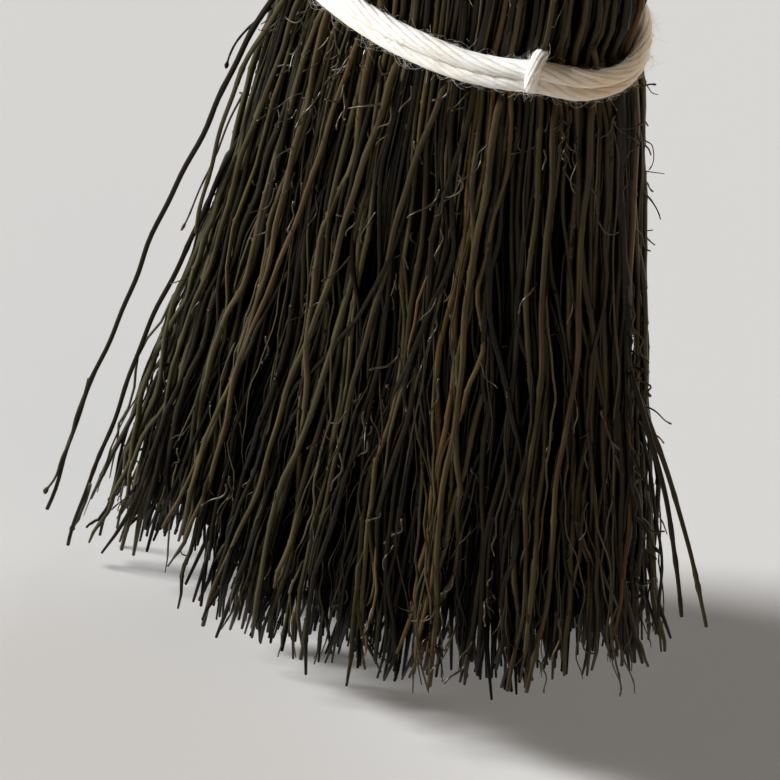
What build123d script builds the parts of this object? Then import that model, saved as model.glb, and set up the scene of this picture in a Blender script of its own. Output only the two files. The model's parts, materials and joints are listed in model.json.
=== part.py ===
from build123d import *
import os

# A corn curling broom, upright, in millimetres. +Z runs up the handle, X is the wide way of the head
# and Y its depth. The straw's lowest tips stand at Z = 0.

os.makedirs("parts", exist_ok=True)

# handle
overall_length = 1250.0
grip_r = 12.5  # bare upper length of the stick
seat_r = 12.0  # length of the stick that straw and stems are tied on
stick_tip_r = 6.0
stick_tip_z = 300.0
stick_taper_z = 400.0
seat_end_z = 662.0
seat_step = 1.0  # length of the slope from the seat to the grip
stick_dome = 6.0  # edge radius of the upper end
hang_hole_z = 1210.0
hang_hole_r = 3.0

# straw head: height, half width and half depth of its outer form
foot_half_width = 78.0
foot_slant = 0.24  # the tips are worn on a slant, longer on the -X side
head_stations = [
    (0.0, foot_half_width, 27.0),
    (80.0, 67.0, 27.0),
    (160.0, 56.0, 26.0),
    (238.0, 47.3, 25.2),
    (310.0, 43.0, 25.5),
    (375.0, 40.5, 26.0),
    (430.0, 35.5, 25.5),
    (484.0, 22.5, 22.5),
    (514.0, 21.5, 21.5),
]
cover_thickness = 6.0
gap = 0.3  # between bundles that lie against each other
inner_half_width = 17.0
core_top_z = 452.0
collar_top_z = 476.0
collar_r = 14.2

# cords
band_cord_d = 4.4
band_heights = {"lower": 238.0, "middle": 310.0, "upper": 375.0}
band_turn_step = 0.92 * band_cord_d  # the two turns of a band press into each other a little
band_clearance = 0.9
loop_cord_d = 3.4
loop_arc_r = 6.0
loop_offsets = {"lower": 26.0, "middle": -16.0, "upper": 20.0}  # of the front loops, along X
wound_fill = 0.6  # share of a wound cord's thickness that its turns fill with no groove
tie_cord_d = 2.0
inner_tie_turns = 6
inner_tie_foot_z = core_top_z + 6.0
shoulder_tie_foot_z = 432.0
shoulder_tie_height = 8.0
whipping_cord_d = 3.0
neck_foot_z = 485.0
neck_turns = 9
middle_foot_z = 532.0
middle_turns = 4
top_foot_z = 617.0
top_turns = 6
weaving_cord_d = 2.2
weaving_pitch = 9.0
weaving_turns = 7

# stems plaited up the handle
stem_count = 19  # odd, so that each round of the weaving cord passes over and under in turn
stem_d = 4.6
stem_foot_z = 515.0
stem_top_z = 641.0
stem_ring_r = seat_r + gap + stem_d / 2
stem_outer_r = stem_ring_r + stem_d / 2

# nails that pin the cord's ends
nail_z = 653.0
nail_shank_r = 0.7
nail_hole_r = 0.8
nail_length = 12.0
nail_head_r = 2.0
nail_head_thickness = 0.8
nail_stand_off = 1.0  # room under the head for the end of the cord

# loose straws: where each leaves the head and where its tip is
straw_d = 1.8
loose_straws = {
    "left": [
        ((-60.2, -5.0, 150.0), (-90.1, -9.0, 7.0)),
        ((-62.0, 4.0, 132.0), (-87.0, 2.0, 5.0)),
        ((-64.2, -1.0, 118.0), (-82.5, -3.0, 3.0)),
    ],
    "right": [
        ((64.0, -5.0, 118.0), (84.5, -8.0, 68.0)),
        ((64.2, 2.0, 116.0), (90.1, -4.0, 63.0)),
        ((67.2, 0.5, 96.0), (81.0, -1.0, 50.0)),
    ],
}

core_inset = cover_thickness + gap
foot_plane = Plane(origin=(-foot_half_width, 0, 0), z_dir=(-foot_slant, 0, 1))
front_side = Plane.XZ.offset(gap / 2)
back_side = Plane.XZ.offset(-gap / 2)


def head_form(inset):
    """The head's outer form, drawn in by inset all round, from foot to neck."""
    with BuildPart() as form:
        for height, half_width, half_depth in head_stations:
            with BuildSketch(Plane.XY.offset(height)):
                Ellipse(half_width - inset, half_depth - inset)
        loft(ruled=True)
    return form.part


def half_size_at(height):
    """Half width and half depth of the outer form at a height, between its stations."""
    for (low, width_0, depth_0), (high, width_1, depth_1) in zip(head_stations, head_stations[1:]):
        if low <= height <= high:
            share = (height - low) / (high - low)
            return width_0 + share * (width_1 - width_0), depth_0 + share * (depth_1 - depth_0)
    raise ValueError(f"no head at height {height}")


def core_form():
    """The space inside the cover, cut to the worn foot and waisted where the shoulder tie lies."""
    width, depth = half_size_at(shoulder_tie_foot_z + shoulder_tie_height)
    with BuildPart() as form:
        add(head_form(core_inset))
        split(bisect_by=foot_plane, keep=Keep.TOP)
        split(bisect_by=Plane.XY.offset(core_top_z), keep=Keep.BOTTOM)
        with BuildSketch(Plane.XY.offset(shoulder_tie_foot_z - gap)):
            Ellipse(2 * width, 2 * width)
            Ellipse(
                width - core_inset - tie_cord_d - gap,
                depth - core_inset - tie_cord_d - gap,
                mode=Mode.SUBTRACT,
            )
        extrude(amount=shoulder_tie_height + 2 * gap, mode=Mode.SUBTRACT)
    return form.part


def wound_cord(foot_z, turns, cord_d, inner_r):
    """Cord wound tight round the handle: one closed sleeve with a rib for each turn."""
    with BuildPart() as sleeve:
        with BuildSketch(Plane.XZ):
            for turn in range(turns):
                with Locations((inner_r + cord_d / 2, foot_z + cord_d * (turn + 0.5))):
                    Circle(cord_d / 2)
            with Locations((inner_r + wound_fill * cord_d / 2, foot_z + cord_d * turns / 2)):
                Rectangle(wound_fill * cord_d, cord_d * (turns - 1))
        revolve(axis=Axis.Z)
    return sleeve.part


def save(piece, name):
    """Labels a finished piece and writes its STEP file."""
    piece.part.label = name
    export_step(piece.part, f"parts/{name}.step")


# Handle: a turned stick, tapered inside the head, domed on top, with a cross hole to hang it by.
with BuildPart() as handle_shaft:
    with BuildSketch(Plane.XZ):
        with BuildLine():
            Polyline(
                (0, stick_tip_z),
                (stick_tip_r, stick_tip_z),
                (seat_r, stick_taper_z),
                (seat_r, seat_end_z),
                (grip_r, seat_end_z + seat_step),
                (grip_r, overall_length),
                (0, overall_length),
                close=True,
            )
        make_face()
    revolve(axis=Axis.Z)
    fillet(handle_shaft.faces().sort_by(Axis.Z)[-1].edges(), radius=stick_dome)
    with BuildSketch(Plane.XZ):
        with Locations((0, hang_hole_z)):
            Circle(hang_hole_r)
    extrude(amount=2 * grip_r, both=True, mode=Mode.SUBTRACT)
    for side in (-1, 1):
        with BuildSketch(Plane(origin=(0, side * seat_r, nail_z), z_dir=(0, -side, 0))):
            Circle(nail_hole_r)
        extrude(amount=nail_length - nail_stand_off + gap, mode=Mode.SUBTRACT)
save(handle_shaft, "handle_shaft")

# Inner bundle: straw all round the stick, ending in a collar of stems under its tie.
with BuildPart() as inner_corn:
    add(core_form())
    split(bisect_by=Plane.YZ.offset(inner_half_width), keep=Keep.BOTTOM)
    split(bisect_by=Plane.YZ.offset(-inner_half_width), keep=Keep.TOP)
    with BuildSketch(Plane.XY.offset(core_top_z)):
        Circle(collar_r)
    extrude(amount=collar_top_z - core_top_z)
    with BuildSketch(Plane.XZ):
        with BuildLine():
            Polyline(
                (0, stick_tip_z - gap),
                (stick_tip_r + gap, stick_tip_z - gap),
                (seat_r + gap, stick_taper_z),
                (seat_r + gap, collar_top_z),
                (0, collar_top_z),
                close=True,
            )
        make_face()
    revolve(axis=Axis.Z, mode=Mode.SUBTRACT)
save(inner_corn, "inner_corn")

with BuildPart() as inner_tie:
    add(wound_cord(inner_tie_foot_z, inner_tie_turns, tie_cord_d, collar_r + gap / 2))
save(inner_tie, "inner_tie")

# Shoulder bundles: the straw that makes the head fan out on each side.
shoulders = {
    "left_shoulder_corn": (Plane.YZ.offset(-inner_half_width - gap), Keep.BOTTOM),
    "right_shoulder_corn": (Plane.YZ.offset(inner_half_width + gap), Keep.TOP),
}
for shoulder_name, (inner_face, kept_side) in shoulders.items():
    with BuildPart() as shoulder_corn:
        add(core_form())
        split(bisect_by=inner_face, keep=kept_side)
    save(shoulder_corn, shoulder_name)

# Shoulder tie: cord round all three bundles, under the cover.
with BuildPart() as shoulder_tie:
    tie_width, tie_depth = half_size_at(shoulder_tie_foot_z + shoulder_tie_height)
    with BuildSketch(Plane.XY.offset(shoulder_tie_foot_z)):
        Ellipse(tie_width - core_inset - gap / 2, tie_depth - core_inset - gap / 2)
        Ellipse(
            tie_width - core_inset - gap / 2 - tie_cord_d,
            tie_depth - core_inset - gap / 2 - tie_cord_d,
            mode=Mode.SUBTRACT,
        )
    extrude(amount=shoulder_tie_height)
save(shoulder_tie, "shoulder_tie")

# Cover: two half shells of long straw, which meet at the sides of the head.
covers = {
    "cover_corn_front": (front_side, Keep.TOP),
    "cover_corn_back": (back_side, Keep.BOTTOM),
}
for cover_name, (seam, kept_side) in covers.items():
    with BuildPart() as cover_corn:
        add(head_form(0.0))
        add(head_form(cover_thickness), mode=Mode.SUBTRACT)
        split(bisect_by=foot_plane, keep=Keep.TOP)
        split(bisect_by=seam, keep=kept_side)
    save(cover_corn, cover_name)

# Whippings: cord wound tight round the neck, and twice round the stems above it.
whippings = {
    "neck_whipping": (neck_foot_z, neck_turns, half_size_at(neck_foot_z)[0] + gap),
    "middle_whipping": (middle_foot_z, middle_turns, stem_outer_r + gap),
    "top_whipping": (top_foot_z, top_turns, stem_outer_r + gap),
}
for whipping_name, (foot_z, turns, inner_r) in whippings.items():
    with BuildPart() as whipping:
        add(wound_cord(foot_z, turns, whipping_cord_d, inner_r))
    save(whipping, whipping_name)

# Stems: the cover's long stems, laid side by side round the stick.
with BuildPart() as plaited_stems:
    with BuildSketch(Plane.XY.offset(stem_foot_z)):
        with PolarLocations(stem_ring_r, stem_count):
            Circle(stem_d / 2)
    extrude(amount=stem_top_z - stem_foot_z)
save(plaited_stems, "plaited_stems")

# Weaving cord: climbs round the stems between the middle and the top whipping.
with BuildPart() as weaving_cord:
    weaving_foot_z = middle_foot_z + middle_turns * whipping_cord_d + weaving_cord_d
    with BuildLine(Plane.XY.offset(weaving_foot_z)):
        climb = Helix(weaving_pitch, weaving_pitch * weaving_turns, stem_outer_r + gap + weaving_cord_d / 2)
    with BuildSketch(Plane(origin=climb @ 0, z_dir=climb % 0)):
        Circle(weaving_cord_d / 2)
    sweep(is_frenet=True)
save(weaving_cord, "weaving_cord")

# Nails: one on each side of the stick pins an end of the whipping cord.
with BuildPart() as cord_nails:
    head_y = seat_r + nail_stand_off
    for side in (-1, 1):
        with BuildSketch(Plane(origin=(0, side * (head_y - nail_length), nail_z), z_dir=(0, side, 0))):
            Circle(nail_shank_r)
        extrude(amount=nail_length)
        with BuildSketch(Plane(origin=(0, side * head_y, nail_z), z_dir=(0, side, 0))):
            Circle(nail_head_r)
        extrude(amount=nail_head_thickness)
save(cord_nails, "cord_nails")

# Bands: two turns of soft cord side by side round the head, with a lock loop over them front and back.
for level, band_z in band_heights.items():
    band_width, band_depth = (size + band_clearance + band_cord_d / 2 for size in half_size_at(band_z))
    with BuildPart() as band:
        with BuildLine(Plane.XY.offset(band_z)):
            turn_path = EllipticalCenterArc((0, 0), band_width, band_depth, start_angle=0, arc_size=360)
        with BuildSketch(Plane(origin=turn_path @ 0, x_dir=(1, 0, 0), z_dir=turn_path % 0)):
            for turn_z in (-band_turn_step / 2, band_turn_step / 2):
                with Locations((0, turn_z)):
                    Circle(band_cord_d / 2)
        sweep()
    save(band, f"{level}_band")

    for side_name, side in (("front", -1), ("back", 1)):
        with BuildPart() as band_loop:
            loop_x = -side * loop_offsets[level]
            loop_y = side * band_depth * (1 - (loop_x / band_width) ** 2) ** 0.5
            outward = Vector(loop_x / band_width**2, loop_y / band_depth**2, 0).normalized()
            tangent = Vector(0, 0, 1).cross(outward)
            with BuildLine(Plane(origin=(loop_x, loop_y, band_z), x_dir=outward, z_dir=tangent)):
                loop_path = CenterArc((0, 0), loop_arc_r, -90, 180)
            with BuildSketch(Plane(origin=loop_path @ 0, z_dir=loop_path % 0)):
                Circle(loop_cord_d / 2)
            sweep()
        save(band_loop, f"{level}_band_loop_{side_name}")

# Loose straws: single stalks of the cover that splay out at both sides.
for side_name, straws in loose_straws.items():
    with BuildPart() as splayed:
        for root, tip in straws:
            reach = Vector(tip) - Vector(root)
            with BuildSketch(Plane(origin=root, z_dir=reach)):
                Circle(straw_d / 2)
            extrude(amount=reach.length)
    save(splayed, f"loose_straws_{side_name}")
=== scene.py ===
import json
import math

import bpy
import numpy as np
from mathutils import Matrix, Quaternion, Vector


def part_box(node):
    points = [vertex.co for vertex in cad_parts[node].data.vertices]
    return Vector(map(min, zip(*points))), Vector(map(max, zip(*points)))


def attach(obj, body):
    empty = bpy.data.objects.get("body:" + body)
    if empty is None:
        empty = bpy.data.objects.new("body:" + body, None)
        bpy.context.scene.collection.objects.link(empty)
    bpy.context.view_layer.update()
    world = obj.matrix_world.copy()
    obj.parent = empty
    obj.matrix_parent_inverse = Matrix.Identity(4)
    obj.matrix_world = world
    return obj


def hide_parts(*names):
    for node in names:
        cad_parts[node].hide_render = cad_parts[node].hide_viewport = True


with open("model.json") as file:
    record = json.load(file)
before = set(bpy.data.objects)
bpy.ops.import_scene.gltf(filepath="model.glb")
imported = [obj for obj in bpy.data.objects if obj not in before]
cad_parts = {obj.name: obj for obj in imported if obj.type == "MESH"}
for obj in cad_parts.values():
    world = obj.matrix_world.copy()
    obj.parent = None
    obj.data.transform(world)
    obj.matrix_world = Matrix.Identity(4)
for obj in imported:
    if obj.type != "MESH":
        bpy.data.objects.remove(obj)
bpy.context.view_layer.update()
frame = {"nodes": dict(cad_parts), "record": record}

# Lengths below are in millimetres and become metres when a mesh is made.
MM = 0.001


def box_mm(node):
    """Lowest and highest corner of a CAD node, in millimetres."""
    low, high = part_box(node)
    return np.array(low) / MM, np.array(high) / MM


def middle_z(node):
    low, high = box_mm(node)
    return (low[2] + high[2]) / 2


# ---------------------------------------------------------------- sizes read from the frame

HEAD_TOP = box_mm("cover_corn_front")[1][2]
BAND_Z = {level: middle_z(f"{level}_band") for level in ("lower", "middle", "upper")}
SEAT_R = 12.0  # radius of the stick under the straw
STICK_TIP_Z, STICK_TAPER_Z, STICK_TIP_R = box_mm("handle_shaft")[0][2], 400.0, 6.0
STEM_FOOT, STEM_TOP = box_mm("plaited_stems")[0][2], box_mm("plaited_stems")[1][2]
STRAY_X = box_mm("loose_straws_right")[1][0]
STEM_COUNT = 19
STEM_RING_R = SEAT_R + 2.3
YARN_D = 4.4
LOOP_D = 3.4
LOOP_HALF_TURN = 2.45  # radians from a lock loop's middle to where its ends are in the straw
LOOP_OUT, LOOP_HALF_HEIGHT, LOOP_SLANT, LOOP_RISE, LOOP_HAIRS = 3.3, 4.6, 1.2, 0.9, 300
WHIP_D = 3.0
TAIL_D = 1.7
TAIL_LOOP_R, TAIL_LOOP_SEAT, TAIL_LOOP_SAMPLES = 2.1, 12.85, 26  # the turn of cord under a nail's head
foot_axis = next(mount["axis"] for mount in frame["record"]["mounts"] if mount["name"] == "sweep_face")
FOOT_SLANT = -foot_axis[0] / foot_axis[2]
SKIN = 1.1  # from the outermost straws' middles to the head's outer form
NIP_WIDTH, NIP_DEPTH, NIP_REACH = 3.6, 0.9, 9.0  # how far a band draws the straw in, and how far up and down
PLY_SHARE = {3: 0.56, 9: 0.45}  # radius of one ply as a share of the cord's, for a cord of so many plies
BAND_END_TUCK, BAND_END_SAMPLES = 4.8, 14  # how deep a band's ends go in, and over how many points
STANDING_HAIRS, LYING_HAIRS = 3000, 1500  # loose cotton hairs on each band
SINGLE_TWIGS, TANGLED_TWIGS, TANGLE_COUNT = 210, 280, 40  # on the front of the head, and again on the back


def head_outline():
    """Heights, half widths and half depths of the head's outer form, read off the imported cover."""
    mesh = frame["nodes"]["cover_corn_front"].data
    points = np.array([v.co for v in mesh.vertices]) / MM
    rows = []
    for height in np.unique(points[:, 2].round()):
        ring = points[np.abs(points[:, 2] - height) < 0.4]
        if height > 60 and len(ring) > 80:
            rows.append((height, np.abs(ring[:, 0]).max(), np.abs(ring[:, 1]).max()))
    rows = np.array(rows)
    slope = (rows[0, 1:] - rows[1, 1:]) / (rows[1, 0] - rows[0, 0])
    foot = [0.0, *(rows[0, 1:] + slope * rows[0, 0])]
    return np.vstack([foot, rows])


OUTLINE = head_outline()
FOOT_HALF_WIDTH, FOOT_HALF_DEPTH = OUTLINE[0, 1:]
fine_z = np.arange(-60.0, 600.0, 1.0)
kernel = np.hanning(41) / np.hanning(41).sum()
fine_a = np.convolve(np.interp(fine_z, OUTLINE[:, 0], OUTLINE[:, 1]), kernel, "same")
fine_b = np.convolve(np.interp(fine_z, OUTLINE[:, 0], OUTLINE[:, 2]), kernel, "same")


def smooth(x):
    """0 below 0, 1 above 1 and a soft step between."""
    x = np.clip(x, 0.0, 1.0)
    return x * x * (3 - 2 * x)


def half_sizes(z):
    """Half width and half depth of the straw at a height, drawn in a little under each band."""
    nip = sum(np.exp(-(((z - at) / NIP_REACH) ** 2)) for at in BAND_Z.values())
    half_width = np.interp(z, fine_z, fine_a) - NIP_WIDTH * nip
    half_depth = np.interp(z, fine_z, fine_b) - NIP_DEPTH * nip
    return half_width, half_depth


def foot_z(x, y):
    """Height of the longest tips: a slant, worn rounder at the low corner and hollow beside it in front."""
    slant = FOOT_SLANT * (x + FOOT_HALF_WIDTH) + 9.0 * smooth((-x - 42) / 20)
    hollow = 24.0 * smooth((x + 68) / 20) * smooth((-38 - x) / 5) * smooth((9 - y) / 16)
    return slant + hollow


def stick_r(z):
    return np.interp(z, [STICK_TIP_Z - 1, STICK_TIP_Z, STICK_TAPER_Z], [0, STICK_TIP_R, SEAT_R])


# ---------------------------------------------------------------- meshes


def frames_along(paths):
    """Unit tangents, normals and binormals of many paths, turned as little as possible."""
    tangent = np.gradient(paths, axis=1)
    tangent /= np.linalg.norm(tangent, axis=2, keepdims=True) + 1e-12
    guide = np.where(np.abs(tangent[:, 0, 2:3]) > 0.9, [[1.0, 0.0, 0.0]], [[0.0, 0.0, 1.0]])
    normal = np.empty_like(paths)
    last = np.cross(tangent[:, 0], guide)
    for ring in range(paths.shape[1]):
        last = last - tangent[:, ring] * (last * tangent[:, ring]).sum(1, keepdims=True)
        last = last / (np.linalg.norm(last, axis=1, keepdims=True) + 1e-12)
        normal[:, ring] = last
    return tangent, normal, np.cross(tangent, normal)


def tubes(paths, radii, sides, flat=1.0, caps=True):
    """Closed tubes along many paths: points, face corners, corners per face, UVs, cap marks."""
    count, rings = radii.shape
    _, normal, binormal = frames_along(paths)
    turn = 2 * np.pi * np.arange(sides) / sides
    across = np.cos(turn)[:, None] * normal[:, :, None] + flat * np.sin(turn)[:, None] * binormal[:, :, None]
    points = (paths[:, :, None] + radii[:, :, None, None] * across).reshape(-1, 3)

    tube = np.arange(count)[:, None, None] * rings * sides
    ring = np.arange(rings - 1)[None, :, None] * sides
    side = np.arange(sides)[None, None, :]
    near, far = tube + ring + side, tube + ring + (side + 1) % sides
    quads = np.stack([near, far, far + sides, near + sides], -1).reshape(-1, 4)

    step = np.linalg.norm(np.diff(paths, axis=1), axis=2)
    along = np.concatenate([np.zeros((count, 1)), step.cumsum(1)], 1) / 10 + 3.7 * np.arange(count)[:, None]
    shape = near.shape
    u0 = np.broadcast_to(along[:, :-1, None], shape)
    u1 = np.broadcast_to(along[:, 1:, None], shape)
    v0 = np.broadcast_to(side / sides, shape)
    v1 = v0 + 1 / sides
    uv = np.stack([u0, v0, u0, v1, u1, v1, u1, v0], -1).reshape(-1, 2)
    corners, totals = quads.ravel(), np.full(len(quads), 4)
    is_cap = np.zeros(len(quads), bool)
    if caps:
        first = tube[:, 0] + np.arange(sides)[::-1]
        final = tube[:, 0] + (rings - 1) * sides + np.arange(sides)
        ends = np.concatenate([first, final]).ravel()
        corners = np.concatenate([corners, ends])
        totals = np.concatenate([totals, np.full(2 * count, sides)])
        around = np.stack([0.5 + 0.4 * np.cos(turn), 0.5 + 0.4 * np.sin(turn)], -1)
        uv = np.concatenate([uv, np.tile(around, (2 * count, 1))])
        is_cap = np.concatenate([is_cap, np.ones(2 * count, bool)])
    return points, corners, totals, uv, is_cap


def piece(name, batches, materials, replaced=()):
    """Makes one object of several batches of tubes, rides it on the broom and hides the CAD nodes it
    replaces.
    """
    mesh = bpy.data.meshes.new(name)
    points, corners, totals, uvs, cap_marks, shift = [], [], [], [], [], 0
    for batch in batches:
        points.append(batch[0])
        corners.append(batch[1] + shift)
        totals.append(batch[2])
        uvs.append(batch[3])
        cap_marks.append(batch[4])
        shift += len(batch[0])
    points, corners, totals, uvs, cap_marks = map(np.concatenate, (points, corners, totals, uvs, cap_marks))
    mesh.vertices.add(len(points))
    mesh.vertices.foreach_set("co", (points * MM).astype(np.float32).ravel())
    mesh.loops.add(len(corners))
    mesh.loops.foreach_set("vertex_index", corners.astype(np.int32))
    mesh.polygons.add(len(totals))
    mesh.polygons.foreach_set("loop_start", (totals.cumsum() - totals).astype(np.int32))
    mesh.polygons.foreach_set("loop_total", totals.astype(np.int32))
    mesh.polygons.foreach_set("use_smooth", ~cap_marks)
    for material in materials:
        mesh.materials.append(material)
    mesh.polygons.foreach_set("material_index", (cap_marks * (len(materials) - 1)).astype(np.int32))
    mesh.update(calc_edges=True)
    layer = mesh.uv_layers.new(name="grain")
    layer.data.foreach_set("uv", uvs.astype(np.float32).ravel())
    mesh.validate()
    made = bpy.data.objects.new(name, mesh)
    bpy.context.scene.collection.objects.link(made)
    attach(made, "root")
    if replaced:
        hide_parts(*replaced)
    return made


# ---------------------------------------------------------------- materials


class Nodes:
    """A short way to write a procedural material."""

    def __init__(self, name):
        self.material = bpy.data.materials.new(name)
        self.material.use_nodes = True
        self.tree = self.material.node_tree
        self.shader = self.tree.nodes["Principled BSDF"]

    def add(self, kind, inputs=None, **settings):
        node = self.tree.nodes.new(kind)
        for key, value in settings.items():
            setattr(node, key, value)
        for key, value in (inputs or {}).items():
            if isinstance(value, bpy.types.NodeSocket):
                self.tree.links.new(value, node.inputs[key])
            else:
                node.inputs[key].default_value = value
        return node

    def noise(self, vector, scale, detail=4.0, stretch=(1, 1, 1)):
        mapped = self.add("ShaderNodeMapping", {"Vector": vector, "Scale": stretch})
        made = self.add("ShaderNodeTexNoise", {"Vector": mapped.outputs[0], "Scale": scale, "Detail": detail})
        return made.outputs["Fac"]

    def ramp(self, factor, stops):
        made = self.add("ShaderNodeValToRGB", {"Fac": factor})
        ends = made.color_ramp.elements
        while len(ends) < len(stops):
            ends.new(0.5)
        for end, (at, colour) in zip(ends, stops):
            end.position = at
            end.color = (*colour, 1)
        return made.outputs["Color"]

    def spread(self, factor, low, high):
        """Maps the middle of a noise's range onto low..high."""
        made = self.add("ShaderNodeMapRange", {0: factor, 1: 0.3, 2: 0.7, 3: low, 4: high})
        return made.outputs[0]

    def multiply(self, colour, factor):
        made = self.add("ShaderNodeVectorMath", {0: colour, 1: factor}, operation="MULTIPLY")
        return made.outputs[0]

    def mix(self, factor, first, second):
        made = self.add("ShaderNodeMix", data_type="RGBA")
        for socket, value in ((made.inputs[0], factor), (made.inputs[6], first), (made.inputs[7], second)):
            if isinstance(value, bpy.types.NodeSocket):
                self.tree.links.new(value, socket)
            else:
                socket.default_value = value
        return made.outputs[2]

    def finish(self, colour, roughness, height=None, strength=0.3, distance=0.0001, **plain):
        links = self.tree.links
        links.new(colour, self.shader.inputs["Base Color"])
        links.new(roughness, self.shader.inputs["Roughness"])
        if height is not None:
            bump = self.add("ShaderNodeBump", {"Height": height, "Strength": strength, "Distance": distance})
            links.new(bump.outputs[0], self.shader.inputs["Normal"])
        for key, value in plain.items():
            self.shader.inputs[key.replace("_", " ")].default_value = value
        return self.material


def straw_material(name, stops, gain=1.0, gloss=0.12, polish=(0.34, 0.5), tint=(1.0, 0.86, 0.66, 1.0)):
    """Dyed straw: a colour of its own for each stalk, streaked along its length."""
    m = Nodes(name)
    grain = m.add("ShaderNodeUVMap", uv_map="grain").outputs[0]
    place = m.add("ShaderNodeTexCoord").outputs["Object"]
    each = m.add("ShaderNodeNewGeometry").outputs["Random Per Island"]
    tone = m.ramp(each, [(at, tuple(gain * c for c in colour)) for at, colour in stops])
    streak = m.noise(grain, 1.0, 5.0, (0.35, 9.0, 1.0))
    patch = m.noise(grain, 1.0, 3.0, (0.55, 0.6, 1.0))
    region = m.noise(place, 22.0, 2.0)
    # Towards +X the straw is tinted warmer and darker: painted warm shade on the side away from the key
    # light; the region noise adds random patches of browner tone.
    across = m.add("ShaderNodeSeparateXYZ", {0: place}).outputs["X"]
    side = m.add("ShaderNodeMapRange", {0: across, 1: -0.06, 2: 0.05, 3: 0.0, 4: 0.6}).outputs[0]
    brown = m.add("ShaderNodeMath", {0: side, 1: m.spread(region, 0.0, 0.4)}, operation="ADD").outputs[0]
    shaded = m.multiply(tone, m.spread(streak, 0.62, 1.38))
    shaded = m.multiply(shaded, m.spread(patch, 0.7, 1.3))
    warm_shade_and_tone = m.multiply(shaded, (1.0, 0.74, 0.54))
    shaded = m.mix(brown, shaded, warm_shade_and_tone)
    rough = m.spread(patch, *polish)
    return m.finish(shaded, rough, streak, 0.5, 0.00012, Specular_IOR_Level=gloss, Specular_Tint=tint)


def pith_material():
    """The cut or worn end of a stalk, paler than its dyed skin."""
    m = Nodes("straw_ends")
    place = m.add("ShaderNodeTexCoord").outputs["Object"]
    speck = m.noise(place, 900.0, 3.0)
    colour = m.ramp(speck, [(0.3, (0.03, 0.022, 0.012)), (0.7, (0.2, 0.14, 0.08))])
    return m.finish(colour, m.spread(speck, 0.7, 0.95), speck, 0.4, 0.0001)


def cotton_material():
    """Soft undyed cotton: fine fibres along the ply, faint tan stains, and painted warm shade towards +X."""
    m = Nodes("cotton")
    grain = m.add("ShaderNodeUVMap", uv_map="grain").outputs[0]
    place = m.add("ShaderNodeTexCoord").outputs["Object"]
    fibre = m.noise(grain, 1.0, 6.0, (2.2, 16.0, 1.0))
    stain = m.noise(place, 30.0, 3.0)
    stains = [(0.35, (0.94, 0.92, 0.87)), (0.52, (0.92, 0.86, 0.77)), (0.7, (0.84, 0.70, 0.53))]
    colour = m.ramp(stain, stains)
    # Towards +X the cord is tinted tan: painted warm shade on the side away from the key light.
    across = m.add("ShaderNodeSeparateXYZ", {0: place}).outputs["X"]
    warm_shade_side = m.add("ShaderNodeMapRange", {0: across, 1: 0.024, 2: 0.044, 3: 0.0, 4: 0.8}).outputs[0]
    colour = m.mix(warm_shade_side, colour, (0.90, 0.66, 0.42, 1))
    colour = m.multiply(colour, m.spread(fibre, 0.86, 1.06))
    return m.finish(
        colour, m.spread(fibre, 0.85, 1.0), fibre, 0.7, 0.0003,
        Sheen_Weight=0.5, Sheen_Roughness=0.6, Specular_IOR_Level=0.15,
        Subsurface_Weight=0.5, Subsurface_Radius=(1.0, 0.7, 0.5), Subsurface_Scale=0.002,
    )


def wood_material():
    """Varnished ash: long grain, open pores and darker worn patches along its length."""
    m = Nodes("ash_wood")
    place = m.add("ShaderNodeTexCoord").outputs["Object"]
    grain = m.noise(place, 1.0, 6.0, (260.0, 260.0, 5.0))
    rings = m.noise(place, 1.0, 3.0, (70.0, 70.0, 1.6))
    pores = m.noise(place, 1.0, 2.0, (900.0, 900.0, 28.0))
    wear = m.noise(place, 1.0, 3.0, (9.0, 9.0, 3.0))
    ring_tones = [(0.32, (0.60, 0.39, 0.19)), (0.5, (0.50, 0.30, 0.135)), (0.66, (0.36, 0.195, 0.08))]
    colour = m.ramp(rings, ring_tones)
    colour = m.multiply(colour, m.spread(grain, 0.78, 1.16))
    colour = m.mix(m.spread(wear, 0.0, 0.35), colour, m.multiply(colour, (0.62, 0.56, 0.5)))
    dark_pores = m.ramp(pores, [(0.32, (0.45, 0.45, 0.45)), (0.42, (1.0, 1.0, 1.0))])
    colour = m.multiply(colour, dark_pores)
    rough = m.spread(grain, 0.3, 0.5)
    return m.finish(colour, rough, pores, 0.25, 0.0002, Coat_Weight=0.25, Coat_Roughness=0.25)


def twine_material():
    """Thin waxed twine, tan and a little shiny."""
    m = Nodes("tie_twine")
    place = m.add("ShaderNodeTexCoord").outputs["Object"]
    fibre = m.noise(place, 700.0, 4.0)
    colour = m.ramp(fibre, [(0.3, (0.19, 0.13, 0.07)), (0.7, (0.34, 0.25, 0.14))])
    return m.finish(colour, m.spread(fibre, 0.5, 0.7), fibre, 0.4, 0.0002)


def steel_material():
    m = Nodes("nail_steel")
    place = m.add("ShaderNodeTexCoord").outputs["Object"]
    scratch = m.noise(place, 1500.0, 4.0)
    colour = m.ramp(scratch, [(0.3, (0.32, 0.31, 0.30)), (0.7, (0.58, 0.57, 0.55))])
    return m.finish(colour, m.spread(scratch, 0.28, 0.5), scratch, 0.2, 0.0001, Metallic=1.0)


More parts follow.
